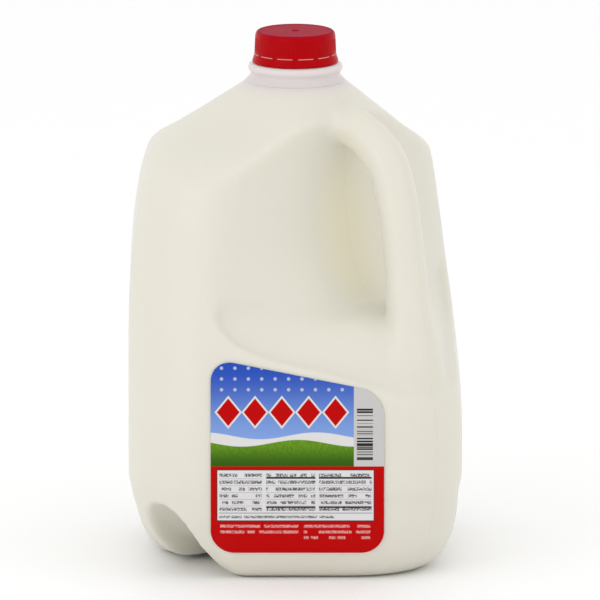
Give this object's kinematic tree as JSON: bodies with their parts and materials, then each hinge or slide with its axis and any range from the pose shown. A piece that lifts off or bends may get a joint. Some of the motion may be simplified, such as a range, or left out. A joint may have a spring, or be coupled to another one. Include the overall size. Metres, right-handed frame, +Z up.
{
  "type": "plastic milk jug",
  "caption": "Full translucent plastic milk jug with a hollow corner handle, a red screw cap and a paper label on one face.",
  "frame": {"origin": "centre of the neck's axis at the level of the feet, which is the bottom centre of the bounding box", "axes": "+Z up along the neck, +X towards the handle; the faces of the square body look along the diagonals, the labelled one along +X -Y"},
  "size_m": [0.1882, 0.1882, 0.2489],
  "materials": {
    "jug_plastic": "satin, translucent",
    "milk": "smooth liquid",
    "cap_plastic": "satin",
    "label_paper": "glossy print"
  },
  "bodies": {
    "root": {"jug": "jug_plastic", "milk": "milk", "cap": "cap_plastic", "label": "label_paper"}
  },
  "joints": []
}
